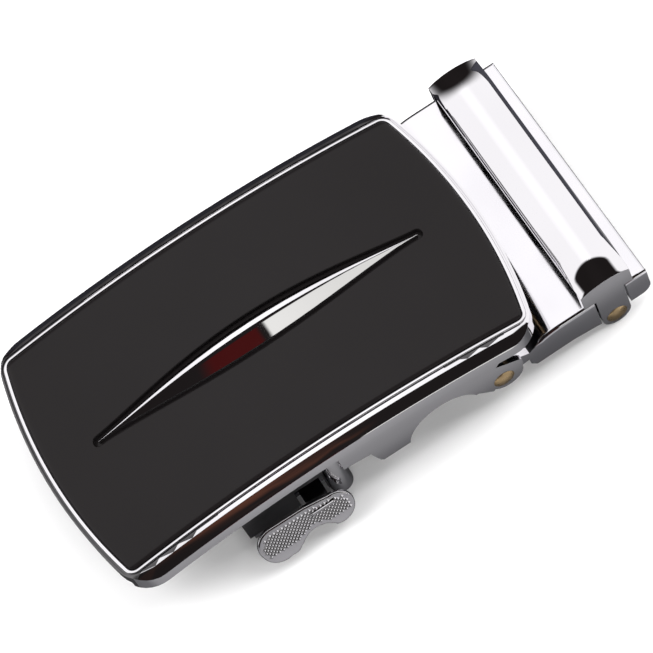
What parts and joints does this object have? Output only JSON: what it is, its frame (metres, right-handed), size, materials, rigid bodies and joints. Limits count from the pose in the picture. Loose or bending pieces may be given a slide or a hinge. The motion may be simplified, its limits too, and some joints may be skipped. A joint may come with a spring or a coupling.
{
  "type": "ratchet belt buckle",
  "caption": "Arched ratchet belt buckle with a glossy inlaid face, side release lever and a hinged strap clip with a domed keeper bar and clamp jaw",
  "frame": {"origin": "centre of the bounding box's base, which is the plane that the back plate and the clip's tabs lie on", "axes": "+X along the belt from the face towards the strap clip, +Y across the belt away from the release lever, +Z out of the face"},
  "size_m": [0.079, 0.0432, 0.0188],
  "materials": {
    "polished_chrome": "mirror-polished chrome plate over zinc casting",
    "panel_enamel": "glossy near-black enamel with a soft pillow edge",
    "plated_steel": "smooth bright nickel-plated sheet steel",
    "knurled_chrome": "chrome plate, finely knurled inside a smooth border",
    "brass_rivet": "satin brass-coloured rivet heads"
  },
  "bodies": {
    "buckle": {"buckle_body": "polished_chrome", "face_panel": "panel_enamel", "spindle": "polished_chrome", "back_plate": "plated_steel", "hinge_pin": "brass_rivet", "pawl_pin": "plated_steel"},
    "strap_clip": {"clip_plate": "plated_steel", "keeper_bar": "polished_chrome", "clip_pin": "brass_rivet"},
    "jaw": {"clamp_jaw": "plated_steel"},
    "lever": {"release_lever": "knurled_chrome", "pawl": "plated_steel"}
  },
  "joints": [
    {"name": "clip_swivel", "type": "hinge", "parent": "buckle", "child": "strap_clip", "pos_m": [0.01685, 0.00129, 0.0062], "axis": [0, 1, 0], "range_deg": [-6, 90]},
    {"name": "jaw_hinge", "type": "hinge", "parent": "strap_clip", "child": "jaw", "pos_m": [0.0339, 0.00129, 0.0021], "axis": [0, -1, 0], "range_deg": [-15, 100]},
    {"name": "lever_pivot", "type": "hinge", "parent": "buckle", "child": "lever", "pos_m": [0.00045, 0.00129, 0.0067], "axis": [0, 1, 0], "range_deg": [0, 9], "stiffness_Nm_per_rad": 0.02, "springref_deg": -17.19}
  ]
}
